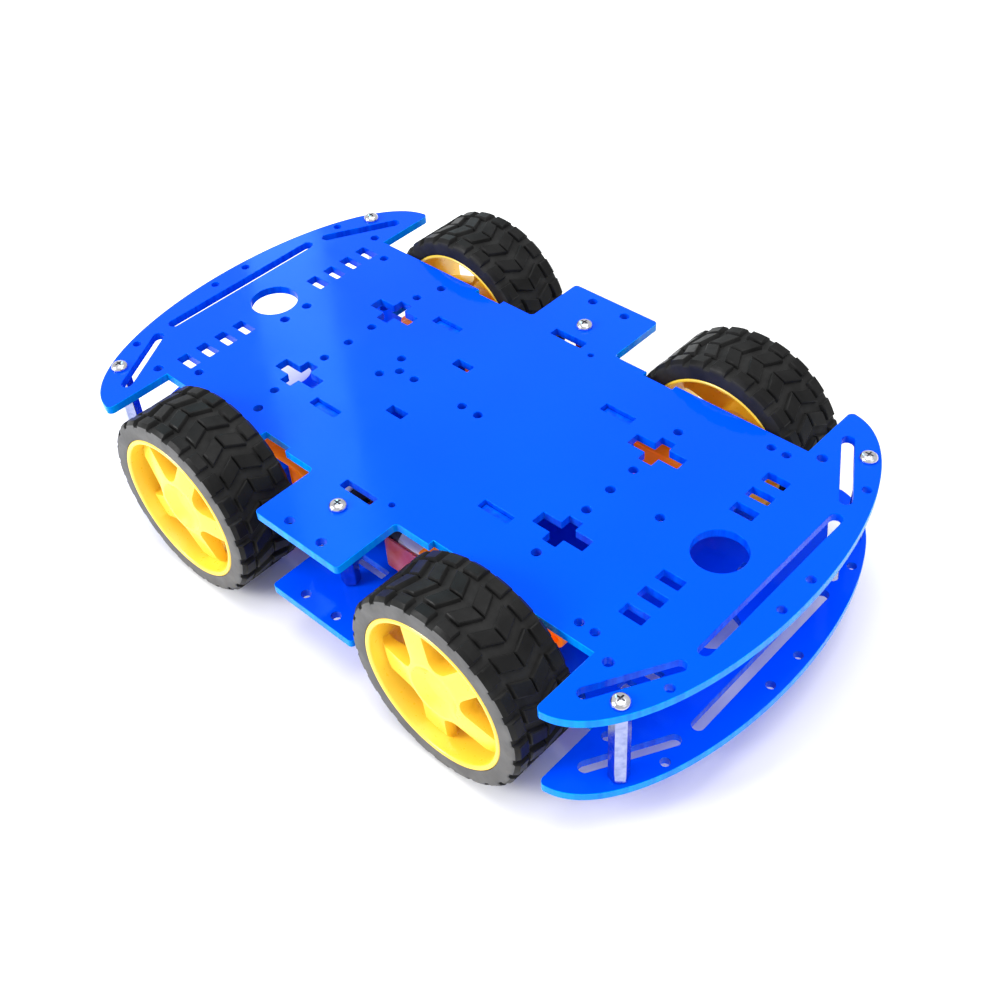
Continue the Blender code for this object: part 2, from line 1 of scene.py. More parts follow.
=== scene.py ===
"""Looks for the four wheel robot chassis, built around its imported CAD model.

Units are metres and the frame is the CAD model's: +X is the front, +Y the left side, +Z up, and the
floor is z = 0. Each corner's drive is built in a frame of its own, whose origin is the middle of the
wheel, whose +Y points away from the car and whose -X points along the motor, towards the car's middle.
"""
import json
import math

import bmesh
import bpy
from mathutils import Euler, Matrix, Vector

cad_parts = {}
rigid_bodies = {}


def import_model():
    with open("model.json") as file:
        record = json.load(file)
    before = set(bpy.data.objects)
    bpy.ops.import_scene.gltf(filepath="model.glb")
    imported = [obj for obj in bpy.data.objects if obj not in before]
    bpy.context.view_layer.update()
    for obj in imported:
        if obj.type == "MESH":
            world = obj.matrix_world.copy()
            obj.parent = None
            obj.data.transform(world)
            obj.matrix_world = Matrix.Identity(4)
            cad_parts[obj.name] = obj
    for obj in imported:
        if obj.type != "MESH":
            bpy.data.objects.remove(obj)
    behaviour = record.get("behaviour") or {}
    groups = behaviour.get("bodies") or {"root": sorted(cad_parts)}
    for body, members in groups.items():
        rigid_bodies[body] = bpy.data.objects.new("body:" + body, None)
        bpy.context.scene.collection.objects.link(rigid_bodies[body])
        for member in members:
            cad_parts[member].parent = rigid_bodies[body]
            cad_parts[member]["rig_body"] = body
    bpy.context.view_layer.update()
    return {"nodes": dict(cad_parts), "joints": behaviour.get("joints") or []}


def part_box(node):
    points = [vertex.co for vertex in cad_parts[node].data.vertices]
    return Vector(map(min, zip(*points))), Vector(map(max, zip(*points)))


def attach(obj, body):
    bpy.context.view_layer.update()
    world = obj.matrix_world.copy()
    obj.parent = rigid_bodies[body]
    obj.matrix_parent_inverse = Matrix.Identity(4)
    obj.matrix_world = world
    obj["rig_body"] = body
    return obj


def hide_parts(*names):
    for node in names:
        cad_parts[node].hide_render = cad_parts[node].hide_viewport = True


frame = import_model()

MM = 0.001

# Camera
CAMERA_PLACE = (0.2343, -0.2224, 0.3255)
CAMERA_TURN = (46.92, 3.30, 42.98)
CAMERA_LENS = 46.74
CAMERA_SHIFT = (0.0174, -0.0232)

# Decks
DECK_THICKNESS = 3.0 * MM
BODY_HALF_WIDTH = 51.6 * MM
TAB_HALF_LENGTH = 18.5 * MM
TAB_HALF_WIDTH = 75.6 * MM
WELL_END_X = 94.3 * MM
BUMPER_CENTRE_X = 94.5 * MM
BUMPER_DEPTH = 33.0 * MM
BUMPER_HALF_WIDTH = 75.7 * MM
BRACKET_X = 38.1 * MM
BRACKET_SLOT_LENGTH = 12.0 * MM
NOTCH_Y = 49.5 * MM
CUT_OUT_CORNER_RADIUS = 0.4 * MM
SLOT_WIDTH = 4.0 * MM

# Brackets, standoffs and screws
BRACKET_FOOT_HEIGHT = 5.5 * MM
BRACKET_HALF_WIDTH = 5.6 * MM
BRACKET_NECK_HALF_WIDTH = 3.4 * MM
BRACKET_NECK_Z = 27.5 * MM
STANDOFF_ACROSS_FLATS = 5.5 * MM
STANDOFF_BORE_RADIUS = 1.65 * MM
STANDOFF_BORE_DEPTH = 7.0 * MM
STANDOFF_TURN = 46
SCREW_LENGTH = 8.0 * MM
BOLT_LENGTH = 30.0 * MM
BOLT_HOLE_RADIUS = 1.7 * MM
THREAD_PITCH = 0.5 * MM
HEAD_GAP = 0.05 * MM

# Wheels
LUG_COUNT = 24
SPOKE_COUNT = 5
SPOKE_HALF_WIDTH = 4.3 * MM

# Geared motors
GEARBOX_HALF_HEIGHT = 11.25 * MM
GEARBOX_TAIL = 34.0 * MM
GEARBOX_THICKNESS = 18.8 * MM
GEARBOX_OFFSET_Y = -27.0 * MM
CAN_LENGTH = 11.2 * MM
END_CAP_LENGTH = 5.0 * MM
STRAP_WIDTH = 13.0 * MM
STRAP_THICKNESS = 0.8 * MM
BOLT_X = -20.2 * MM
BOLT_HALF_SPACING = 8.75 * MM
CLEARANCE = 0.3 * MM

# Corner name -> (angle of one spoke, sense of the tread's arrows, angle of one lug), angles in degrees
CORNERS = {
    "front_left": (20, 1, 1.5),
    "front_right": (45, 1, 2.0),
    "rear_left": (50, -1, 11.0),
    "rear_right": (69, -1, 0.5),
}
STANDOFFS = ("front_left", "front_right", "mid_left", "mid_right", "rear_left", "rear_right")

# Light
WORLD_STRENGTH = 0.85
WHITE = (1.0, 1.0, 1.0)
PALE_CYAN = (0.3, 0.8, 1.0)
# (name, place, target, size, power, colour)
LIGHTS = [
    ("key", (-0.75, -1.25, 0.85), (0.0, 0.0, 0.03), (0.7, 0.7), 22.0, WHITE),
    ("top", (0.1, 0.1, 1.5), (0.0, 0.0, 0.0), (1.2, 1.2), 14.0, WHITE),
    ("fill", (1.2, -0.1, 0.9), (0.0, 0.0, 0.03), (0.8, 0.8), 2.0, WHITE),
    ("strip", (-0.95, 0.60, 0.85), (-0.06, 0.0, 0.05), (0.10, 0.8), 1.3, PALE_CYAN),
]


# Camera, lights and floor

def make_camera():
    data = bpy.data.cameras.new("camera")
    data.sensor_width = 36.0
    data.lens = CAMERA_LENS
    data.shift_x, data.shift_y = CAMERA_SHIFT
    data.dof.use_dof = False
    camera = bpy.data.objects.new("camera", data)
    camera.location = CAMERA_PLACE
    camera.rotation_euler = Euler([math.radians(angle) for angle in CAMERA_TURN])
    bpy.context.scene.collection.objects.link(camera)
    bpy.context.scene.camera = camera


def make_area_light(name, place, target, size, power, colour):
    data = bpy.data.lights.new(name, "AREA")
    data.shape = "RECTANGLE"
    data.size, data.size_y = size
    data.energy = power
    data.color = colour
    light = bpy.data.objects.new(name, data)
    light.location = place
    light.rotation_euler = (Vector(target) - Vector(place)).to_track_quat("-Z", "Y").to_euler()
    bpy.context.scene.collection.objects.link(light)


def make_world():
    world = bpy.data.worlds.new("studio")
    world.use_nodes = True
    background = world.node_tree.nodes["Background"]
    background.inputs["Color"].default_value = (*WHITE, 1.0)
    background.inputs["Strength"].default_value = WORLD_STRENGTH
    bpy.context.scene.world = world


def make_floor():
    mesh = bpy.data.meshes.new("floor")
    work = bmesh.new()
    bmesh.ops.create_grid(work, x_segments=2, y_segments=2, size=3.0)
    work.to_mesh(mesh)
    work.free()
    floor = bpy.data.objects.new("floor", mesh)
    floor.location.z = -0.2 * MM
    bpy.context.scene.collection.objects.link(floor)
    floor.data.materials.append(floor_material())


# Materials

def new_material(name, roughness, metallic=0.0, **sockets):
    material = bpy.data.materials.new(name)
    material.use_nodes = True
    shader = material.node_tree.nodes["Principled BSDF"]
    shader.inputs["Roughness"].default_value = roughness
    shader.inputs["Metallic"].default_value = metallic
    for socket, value in sockets.items():
        shader.inputs[socket.replace("_", " ")].default_value = value
    return material


def noise(material, scale, stretch=(1.0, 1.0, 1.0), detail=3.0):
    """A noise texture in the piece's own coordinates; returns the node's value output."""
    nodes, links = material.node_tree.nodes, material.node_tree.links
    place = nodes.new("ShaderNodeTexCoord")
    mapping = nodes.new("ShaderNodeMapping")
    mapping.inputs["Scale"].default_value = stretch
    node = nodes.new("ShaderNodeTexNoise")
    node.inputs["Scale"].default_value = scale
    node.inputs["Detail"].default_value = detail
    links.new(place.outputs["Object"], mapping.inputs["Vector"])
    links.new(mapping.outputs["Vector"], node.inputs["Vector"])
    return node.outputs[0]


def colour_between(material, factor, dark, light):
    """Base colour that runs from dark to light with the factor."""
    nodes, links = material.node_tree.nodes, material.node_tree.links
    ramp = nodes.new("ShaderNodeValToRGB")
    low, high = ramp.color_ramp.elements
    low.position, high.position = 0.35, 0.65
    low.color = (*dark, 1.0)
    high.color = (*light, 1.0)
    links.new(factor, ramp.inputs["Fac"])
    links.new(ramp.outputs["Color"], nodes["Principled BSDF"].inputs["Base Color"])


def roughness_between(material, factor, low, high):
    """Roughness that runs from low to high with the factor."""
    nodes, links = material.node_tree.nodes, material.node_tree.links
    spread = nodes.new("ShaderNodeMapRange")
    spread.inputs["From Min"].default_value = 0.3
    spread.inputs["From Max"].default_value = 0.7
    spread.inputs["To Min"].default_value = low
    spread.inputs["To Max"].default_value = high
    links.new(factor, spread.inputs["Value"])
    links.new(spread.outputs["Result"], nodes["Principled BSDF"].inputs["Roughness"])


def bump(material, factor, distance, strength):
    """Surface relief; a second call lays its relief over the first."""
    nodes, links = material.node_tree.nodes, material.node_tree.links
    shader = nodes["Principled BSDF"]
    node = nodes.new("ShaderNodeBump")
    node.inputs["Distance"].default_value = distance
    node.inputs["Strength"].default_value = strength
    links.new(factor, node.inputs["Height"])
    if shader.inputs["Normal"].is_linked:
        links.new(shader.inputs["Normal"].links[0].from_socket, node.inputs["Normal"])
    links.new(node.outputs["Normal"], shader.inputs["Normal"])


def floor_material():
    material = new_material("pale_floor", 0.9, Specular_IOR_Level=0.1)
    colour_between(material, noise(material, 6.0), (0.93, 0.93, 0.93), (0.95, 0.95, 0.95))
    return material


def acrylic_face_material():
    """Polished cast acrylic: a deep even blue under a hard gloss with a slight waviness."""
    material = new_material("blue_acrylic", 0.08,
                            Specular_Tint=(0.0, 0.45, 1.0, 1.0), Specular_IOR_Level=0.15)
    colour_between(material, noise(material, 9.0), (0.0, 0.066, 0.95), (0.0, 0.078, 1.0))
    roughness_between(material, noise(material, 60.0), 0.05, 0.13)
    bump(material, noise(material, 14.0, detail=1.0), 0.10 * MM, 0.5)
    bump(material, noise(material, 900.0, (1.0, 0.05, 1.0)), 0.002 * MM, 0.3)
    return material


def acrylic_edge_material(name, dark, light):
    """Laser cut edge, with fine upright lines left by the beam. The colours it is given paint light onto
    it: lighter for a painted highlight, darker for painted shade.
    """
    material = new_material(name, 0.2, Specular_Tint=(0.0, 0.6, 1.0, 1.0), Specular_IOR_Level=0.15)
    streaks = noise(material, 420.0, (1.0, 1.0, 0.05))
    colour_between(material, streaks, dark, light)
    bump(material, streaks, 0.03 * MM, 0.6)
    return material


def moulded_material(name, dark, light, roughness, **sockets):
    """Moulded plastic: slight flow marks in the colour and a fine satin grain."""
    material = new_material(name, roughness, **sockets)
    colour_between(material, noise(material, 25.0, detail=1.0), dark, light)
    grains = noise(material, 2500.0)
    roughness_between(material, noise(material, 900.0), roughness * 0.9, roughness * 1.1)
    bump(material, grains, 0.012 * MM, 0.5)
    return material


def rubber_material(name, dark, light, roughness, **sockets):
    """Rubber with a dusty bloom in patches and a fine pitted skin."""
    material = new_material(name, roughness, **sockets)
    colour_between(material, noise(material, 140.0, detail=6.0), dark, light)
    roughness_between(material, noise(material, 500.0), roughness * 0.85, roughness * 1.1)
    bump(material, noise(material, 1800.0), 0.03 * MM, 0.6)
    return material


def nickel_material(name, dark, light):
    """Bright nickel plate with faint bar-turning marks and small stains."""
    material = new_material(name, 0.18, 1.0)
    stains = noise(material, 500.0, detail=5.0)
    colour_between(material, stains, dark, light)
    roughness_between(material, noise(material, 900.0), 0.12, 0.26)
    bump(material, noise(material, 1200.0, (0.1, 0.1, 1.0)), 0.004 * MM, 0.4)
    return material


def steel_can_material():
    """Drawn steel: brighter and darker streaks along the can, with a soft sheen."""
    material = new_material("motor_steel", 0.35, 0.35)
    streaks = noise(material, 700.0, (0.06, 1.0, 1.0), detail=4.0)
    colour_between(material, streaks, (0.66, 0.63, 0.60), (0.84, 0.81, 0.78))
    roughness_between(material, streaks, 0.22, 0.38)
    bump(material, streaks, 0.006 * MM, 0.4)
    return material


def clear_plastic_material():
    """Thin clear moulding, tinted red, with a soft waviness that bends what shows through it."""
    material = new_material("clear_plastic", 0.12, Transmission_Weight=0.55, IOR=1.45)
    colour_between(material, noise(material, 120.0), (0.85, 0.16, 0.14), (1.0, 0.34, 0.30))
    bump(material, noise(material, 220.0), 0.05 * MM, 0.5)
    return material


def brass_material():
    material = new_material("brass", 0.3, 1.0)
    colour_between(material, noise(material, 900.0), (0.62, 0.42, 0.16), (0.85, 0.62, 0.28))
    bump(material, noise(material, 1500.0), 0.005 * MM, 0.5)
    return material


# Outlines: lists of (x, y) points, counter-clockwise

def arc(centre, radius, start, end, steps):
    points = []
    for step in range(steps + 1):
        angle = math.radians(start + (end - start) * step / steps)
        points.append((centre[0] + radius * math.cos(angle), centre[1] + radius * math.sin(angle)))
    return points


def circle(x, y, radius, segments=24):
    return arc((x, y), radius, 0, 360 * (1 - 1 / segments), segments - 1)


def rounded(points, radius, steps=3):
    """The outline with each corner, inward or outward, replaced by a short curve."""
    result = []
    count = len(points)
    for index, point in enumerate(points):
        corner = Vector(point)
        before = Vector(points[index - 1]) - corner
        after = Vector(points[(index + 1) % count]) - corner
        reach = min(radius, before.length * 0.49, after.length * 0.49)
        start = corner + before.normalized() * reach
        end = corner + after.normalized() * reach
        for step in range(steps + 1):
            t = step / steps
            spot = start * (1 - t) ** 2 + corner * 2 * t * (1 - t) + end * t ** 2
            result.append((spot.x, spot.y))
    return result


def rectangle(x, y, length, width):
    half_length, half_width = length / 2, width / 2
    return [
        (x - half_length, y - half_width),
        (x + half_length, y - half_width),
        (x + half_length, y + half_width),
        (x - half_length, y + half_width),
    ]


def round_slot(start, end, width):
    """A straight slot with round ends, from the middle of one end to the middle of the other."""
    end_steps = 10
    heading = math.degrees(math.atan2(end[1] - start[1], end[0] - start[0]))
    return (arc(end, width / 2, heading - 90, heading + 90, end_steps)
            + arc(start, width / 2, heading + 90, heading + 270, end_steps))


def cross(x, y, length, height, bar_width):
    half_length, half_height, half_bar = length / 2, height / 2, bar_width / 2
    quadrant = [(half_length, half_bar), (half_bar, half_bar), (half_bar, half_height)]
    points = []
    for turn_x, turn_y, reverse in ((1, 1, False), (-1, 1, True), (-1, -1, False), (1, -1, True)):
        corner = reversed(quadrant) if reverse else quadrant
        points += [(x + turn_x * px, y + turn_y * py) for px, py in corner]
    return points


def mirrored(points, side_x, side_y):
    flipped = [(side_x * x, side_y * y) for x, y in points]
    return flipped if side_x * side_y > 0 else flipped[::-1]


def deck_quadrant():
    """The deck's edge over the front left quadrant, from the bumper's front to the tab's outer side."""
    steps = 40
    last_angle = 86
    points = []
    for step in range(steps + 1):
        angle = math.radians(last_angle * step / steps)
        x = BUMPER_CENTRE_X + BUMPER_DEPTH * math.cos(angle)
        points.append((x, BUMPER_HALF_WIDTH * math.sin(angle)))
    tip_radius = 2.0 * MM
    points += arc((WELL_END_X + tip_radius, BUMPER_HALF_WIDTH - tip_radius), tip_radius, 100, 180, 5)
    points += [(WELL_END_X, BODY_HALF_WIDTH)]
    for side, y in ((1, BODY_HALF_WIDTH), (1, NOTCH_Y), (-1, NOTCH_Y), (-1, BODY_HALF_WIDTH)):
        points.append((BRACKET_X + side * BRACKET_SLOT_LENGTH / 2, y))
    radius = 1.5 * MM
    points += arc((TAB_HALF_LENGTH + radius, BODY_HALF_WIDTH + radius), radius, 270, 180, 4)
    points += arc((TAB_HALF_LENGTH - radius, TAB_HALF_WIDTH - radius), radius, 0, 90, 5)
    return points


def deck_edge():
    """The deck's whole edge, from one quadrant mirrored to the other three."""
    quadrant = deck_quadrant()
    front_left = quadrant[1:]
    edge = [quadrant[0]] + front_left
    edge += mirrored(front_left, -1, 1) + [(-quadrant[0][0], 0.0)]
    edge += mirrored(front_left, -1, -1) + mirrored(front_left, 1, -1)
    return edge


def deck_round_holes():
    """Centres and radii of the round holes that both decks share, in millimetres."""
    holes = []
    four_fold = [
        (110.0, 60.0, 1.7),
        (99.2, 51.6, 1.7),
        (116.7, 48.0, 1.5),
        (123.7, 7.2, 1.5),
        (58.3, 11.2, 1.6),
        (58.3, 33.8, 1.6),
        (7.1, 71.2, 1.7),
    ]
    for x, y, radius in four_fold:
        holes += [(side_x * x, side_y * y, radius) for side_x in (1, -1) for side_y in (1, -1)]
    left_and_right = [
        (0.0, 58.0, 1.7),
        (12.0, 46.9, 1.1),
        (-86.2, 44.0, 1.6),
        (-55.3, 43.4, 1.7),
        (-86.2, 5.2, 1.7),
        (-37.1, 5.2, 1.6),
        (84.6, 46.0, 1.5),
        (90.1, 46.0, 1.5),
    ]
    for x, y, radius in left_and_right:
        holes += [(x, side_y * y, radius) for side_y in (1, -1)]
    for x in (-58.3, -32.7, -25.7, -3.5, 3.6, 58.3, 77.0):
        holes.append((x, 0.0, 1.6))
    return holes


def soft_rectangle(x, y, length, width):
    return rounded(rectangle(x * MM, y * MM, length * MM, width * MM), CUT_OUT_CORNER_RADIUS)


def deck_cut_outs():
    """Outlines of the decks' holes, slots and crosses. The rear has one more short slot on each side."""
    cut_outs = [circle(x * MM, y * MM, radius * MM) for x, y, radius in deck_round_holes()]
    for side_x in (1, -1):
        cut_outs.append(circle(side_x * 98.2 * MM, 0.0, 8.6 * MM, 64))
        middle_slot = (side_x * 116.2 * MM, 32.0 * MM)
        cut_outs.append(round_slot((middle_slot[0], -middle_slot[1]), middle_slot, SLOT_WIDTH))
        for side_y in (1, -1):
            slot = rectangle(side_x * BRACKET_X, side_y * 28.9 * MM, BRACKET_SLOT_LENGTH, 3.6 * MM)
            cut_outs.append(rounded(slot, CUT_OUT_CORNER_RADIUS))
            plus = cross(side_x * 58.6 * MM, side_y * 22.5 * MM, 19.2 * MM, 12.6 * MM, 5.2 * MM)
            cut_outs.append(rounded(plus, CUT_OUT_CORNER_RADIUS))
            side_slot = round_slot((100.9 * MM, 63.6 * MM), (114.3 * MM, 40.4 * MM), SLOT_WIDTH)
            cut_outs.append(mirrored(side_slot, side_x, side_y))
            for index in range(3 if side_x > 0 else 4):
                cut_outs.append(soft_rectangle(side_x * 94.2, side_y * (17.7 + index * 8.2), 8.0, 4.3))
    for side_y in (1, -1):
        cut_outs.append(soft_rectangle(-18.0, side_y * 15.6, 7.2, 3.6))
        cut_outs.append(soft_rectangle(0.0, side_y * 49.5, 13.6, 3.6))
    return cut_outs


# Meshes

def baked(obj):
    """The object's evaluated mesh, welded; the object itself is removed."""
    depsgraph = bpy.context.evaluated_depsgraph_get()
    mesh = bpy.data.meshes.new_from_object(obj.evaluated_get(depsgraph))
    bpy.data.objects.remove(obj)
    work = bmesh.new()
    work.from_mesh(mesh)
    bmesh.ops.remove_doubles(work, verts=work.verts, dist=1e-6)
    bmesh.ops.recalc_face_normals(work, faces=work.faces)
    work.to_mesh(mesh)
    work.free()
    mesh.materials.clear()
    return mesh


def extruded(outlines, thickness, edge=0.12 * MM, edge_steps=0):
    """A flat sheet in the XY plane with its edges broken by a small bevel."""
    curve = bpy.data.curves.new("outline", "CURVE")
    curve.dimensions = "2D"
    curve.fill_mode = "BOTH"
    curve.extrude = thickness / 2 - edge
    curve.bevel_depth = edge
    curve.bevel_resolution = edge_steps
    curve.offset = -edge
    for points in outlines:
        spline = curve.splines.new("POLY")
        spline.points.add(len(points) - 1)
        for target, (x, y) in zip(spline.points, points):
            target.co = (x, y, 0.0, 1.0)
        spline.use_cyclic_u = True
    obj = bpy.data.objects.new("outline", curve)
    bpy.context.scene.collection.objects.link(obj)
    return baked(obj)


def lathed(profile, segments, closed=False):
    """A profile of (radius, height) points turned about Z; points on the axis become poles."""
    work = bmesh.new()
    rings = []
    for radius, height in profile:
        if radius == 0.0:
            rings.append([work.verts.new((0.0, 0.0, height))])
            continue
        ring = []
        for step in range(segments):
            angle = 2 * math.pi * step / segments
            ring.append(work.verts.new((radius * math.cos(angle), radius * math.sin(angle), height)))
        rings.append(ring)
    pairs = list(zip(rings, rings[1:]))
    if closed:
        pairs.append((rings[-1], rings[0]))
    for upper, lower in pairs:
        for step in range(segments):
            after = (step + 1) % segments
            corners = [upper[step % len(upper)], lower[step % len(lower)],
                       lower[after % len(lower)], upper[after % len(upper)]]
            work.faces.new(list(dict.fromkeys(corners)))
    bmesh.ops.recalc_face_normals(work, faces=work.faces)
    mesh = bpy.data.meshes.new("lathed")
    work.to_mesh(mesh)
    work.free()
    return mesh


def combined(mesh, others, operation):
    """The mesh after an exact Boolean with each of the other meshes."""
    obj = bpy.data.objects.new("body", mesh)
    bpy.context.scene.collection.objects.link(obj)
    tools = []
    for other in others:
        tool = bpy.data.objects.new("tool", other)
        bpy.context.scene.collection.objects.link(tool)
        boolean = obj.modifiers.new("boolean", "BOOLEAN")
        boolean.operation = operation
        boolean.solver = "EXACT"
        boolean.object = tool
        tools.append(tool)
    result = baked(obj)
    for tool in tools:
        bpy.data.objects.remove(tool)
    return result


def bevelled(mesh, width, segments=2):
    """The mesh with every edge sharper than 35 degrees bevelled."""
    obj = bpy.data.objects.new("body", mesh)
    bpy.context.scene.collection.objects.link(obj)
    bevel = obj.modifiers.new("bevel", "BEVEL")
    bevel.width = width
    bevel.segments = segments
    bevel.limit_method = "ANGLE"
    bevel.angle_limit = math.radians(35)
    return baked(obj)


def along_y(mesh):
    """Turns the mesh so that its +Z becomes +Y and its +Y becomes -Z."""
    mesh.transform(Matrix.Rotation(-math.pi / 2, 4, "X"))
    return mesh


def moved(mesh, x=0.0, y=0.0, z=0.0):
    mesh.transform(Matrix.Translation(Vector((x, y, z))))
    return mesh


def joined(parts):
    """One mesh from pairs of a mesh and its material, or its list of materials by face index."""
    materials = []
    work = bmesh.new()
    for mesh, material in parts:
        first_face = len(work.faces)
        work.from_mesh(mesh)
        work.faces.ensure_lookup_table()
        if isinstance(material, list):
            offset = len(materials)
            materials += material
            for face in work.faces[first_face:]:
                face.material_index += offset
        else:
            if material not in materials:
                materials.append(material)
            for face in work.faces[first_face:]:
                face.material_index = materials.index(material)
    result = bpy.data.meshes.new("joined")
    work.to_mesh(result)
    work.free()
    for material in materials:
        result.materials.append(material)
    return result


def place_piece(name, mesh, matrix, node, angle=35):
    """Adds a piece that stands for a CAD node and rides on that node's body."""
    mesh = mesh.copy()
    mesh.transform(matrix)
    mesh.shade_smooth()
    mesh.set_sharp_from_angle(angle=math.radians(angle))
    piece = bpy.data.objects.new(name, mesh)
    bpy.context.scene.collection.objects.link(piece)
    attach(piece, frame["nodes"][node]["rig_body"])
    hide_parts(node)


# Pieces

def whole_mm(x, y):
    return round(x / MM), round(y / MM)


def deck_mesh(look):
    """A deck whose faces, outer edge and cut-outs' walls have materials of their own. The outer edge's
    lighter cyan is a painted highlight and the cut-outs' darker blue walls are painted shade.
    """
    outer_edge = deck_edge()
    sheet = extruded([outer_edge] + deck_cut_outs(), DECK_THICKNESS)
    edge_places = {whole_mm(x, y) for x, y in outer_edge}
    for face in sheet.polygons:
        corners = [sheet.vertices[index].co for index in face.vertices]
        if abs(face.normal.z) > 0.9:
            face.material_index = 0
        elif any(whole_mm(corner.x, corner.y) in edge_places for corner in corners):
            # outer edge: lighter cyan, a painted highlight
            face.material_index = 1
        else:
            # cut-outs' walls: darker blue, painted shade
            face.material_index = 2
    return joined([(sheet, [look["acrylic"], look["acrylic_edge_painted_highlight"], look["acrylic_hole_painted_shade"]])])


def bracket_mesh(look, box_low, box_high, neck):
    """T-shaped bracket in the XZ plane, sized from its CAD node's box, with its middle at x = 0, y = 0.

    neck is the pair of corners where the right edge of the stem steps in, or an empty list.
    """
    foot_half_width = (box_high.x - box_low.x) / 2
    shoulder_z = box_low.z + BRACKET_FOOT_HEIGHT
    right = [(foot_half_width, box_low.z), (foot_half_width, shoulder_z), (BRACKET_HALF_WIDTH, shoulder_z)]
    right += neck
    right.append((right[-1][0], box_high.z))
    outline = right + [(-x, z) for x, z in reversed(right)]
    axle_z = frame["joints"][0]["pos_m"][2]
    holes = [circle(0.0, axle_z + side * BOLT_HALF_SPACING, BOLT_HOLE_RADIUS) for side in (1, -1)]
    sheet = extruded([rounded(outline, 0.5 * MM)] + holes, DECK_THICKNESS)
    for face in sheet.polygons:
        # the bracket's edges take the darker hole blue, painted shade
        face.material_index = 0 if abs(face.normal.z) > 0.9 else 1
    sheet.transform(Matrix.Rotation(math.pi / 2, 4, "X"))
    return joined([(sheet, [look["acrylic"], look["acrylic_hole_painted_shade"]])])


def tread_lines():
    """Lines round the tyre, from one bead over the tread to the other.

    Each is (y, lug kind, place along its lug, radius between lugs, radius at a lug's edge, radius on
    its top, level), in millimetres. The level is 2 on a lug's top, 1 on its edge and 0 elsewhere.
    """
    half_lines = []
    base, top = 31.4, 33.0
    for low, high, kind in ((0.35, 6.7, "slanted"), (7.85, 11.6, "shoulder")):
        span = high - low
        half_lines.append((low - 0.15, kind, 0.0, base, base, base, 0))
        half_lines.append((low, kind, 0.0, base, top - 0.2, top - 0.2, 1))
        half_lines.append((low + 0.3, kind, 0.3 / span, base, top - 0.2, top, 2))
        half_lines.append((high - 0.3, kind, 1 - 0.3 / span, base, top - 0.2, top, 2))
        half_lines.append((high, kind, 1.0, base, top - 0.3, top - 0.25, 1))
        if kind == "slanted":
            half_lines.append((high + 0.15, kind, 1.0, base, base, base, 0))
    half_lines.append((12.55, "shoulder", 1.0, 31.1, 31.9, 32.0, 1))
    half_lines.append((12.85, "shoulder", 1.0, 30.9, 31.4, 31.45, 1))
    half_lines.append((12.95, "side", 1.0, 30.7, 30.8, 30.8, 0))
    for y, radius in ((13.0, 29.0), (12.95, 26.9), (12.8, 26.55), (12.0, 26.55), (11.95, 27.1)):
        half_lines.append((y, "side", 1.0, radius, radius, radius, 0))
    other_half = [(-line[0], *line[1:]) for line in reversed(half_lines)]
    return other_half + half_lines


def lug_offset(kind, place, sense):
    """How far round, in degrees, a line's lugs are from the shoulder lugs."""
    if kind != "slanted":
        return 0.0
    middle, end = 3.0 * sense, -2.5 * sense
    return middle + (end - middle) * place


def tyre_mesh(look, sense):
    """Tyre as rings of points, one for each tread line, with its arrows pointing to the given sense."""
    half_widths = {"slanted": 4.2, "shoulder": 4.9, "side": 4.9}
    pitch = 360 / LUG_COUNT
    # Points across a lug: (side, turn from that side in degrees, level)
    edges = [
        (-1, -0.4, 0),
        (-1, 0.0, 1),
        (-1, 0.55, 2),
        (0, 0.0, 2),
        (1, -0.55, 2),
        (1, 0.0, 1),
        (1, 0.4, 0),
    ]
    work = bmesh.new()
    rings = []
    levels = []
    lines = tread_lines()
    for y, kind, place, gap_radius, edge_radius, top_radius, line_level in lines:
        ring = []
        ring_levels = []
        for lug in range(LUG_COUNT):
            centre = lug * pitch + lug_offset(kind, place, sense)
            angles = [(centre + side * half_widths[kind] + turn, level) for side, turn, level in edges]
            angles.append((centre + pitch / 2, 0))
            for angle, side_level in angles:
                level = min(line_level, side_level)
                radius = (gap_radius, edge_radius, top_radius)[level] * MM
                x, z = radius * math.cos(math.radians(angle)), radius * math.sin(math.radians(angle))
                ring.append(work.verts.new((x, y * MM, z)))
                ring_levels.append(level)
        rings.append(ring)
        levels.append(ring_levels)
    count = len(rings[0])
    tread_half_width = 12.8
    for index in range(len(rings)):
        following = (index + 1) % len(rings)
        widest = max(abs(lines[index][0]), abs(lines[following][0]))
        in_tread = widest < tread_half_width and following != 0
        for step in range(count):
            after = (step + 1) % count
            face = work.faces.new((rings[index][step], rings[following][step],
                                   rings[following][after], rings[index][after]))
            lowest = min(levels[index][step], levels[following][step],
                         levels[index][after], levels[following][after])
            if in_tread:
                face.material_index = 2 if lowest > 0 else 1
            else:
                # the outer sidewall gets the lighter side grey, painted light; the inner sidewall gets the
                # dark carcass rubber, painted shade
                face.material_index = 0 if lines[index][0] > 0 else 1
    bmesh.ops.recalc_face_normals(work, faces=work.faces)
    mesh = bpy.data.meshes.new("tyre")
    work.to_mesh(mesh)
    work.free()
    return joined([(mesh, [look["tyre_outer_side_painted_light"], look["tyre_carcass_and_painted_shade"], look["tyre_lug"]])])


def window_outline(middle_angle):
    """One opening between two spokes, with rounded corners; it runs out past the star's edge."""
    half_pitch = math.pi / SPOKE_COUNT
    inner_radius = 10.6 * MM
    outer_radius = 25.6 * MM
    inner_half = half_pitch - math.asin(SPOKE_HALF_WIDTH / inner_radius)
    outer_half = half_pitch - math.asin(SPOKE_HALF_WIDTH / outer_radius)
    corners = [
        (outer_radius, -outer_half),
        (outer_radius * 1.08, 0.0),
        (outer_radius, outer_half),
        (inner_radius, inner_half),
        (inner_radius, -inner_half),
    ]
    points = []
    for radius, turn in corners:
        angle = middle_angle + turn
        points.append((radius * math.cos(angle), radius * math.sin(angle)))
    return rounded(points, 2.4 * MM, 5)


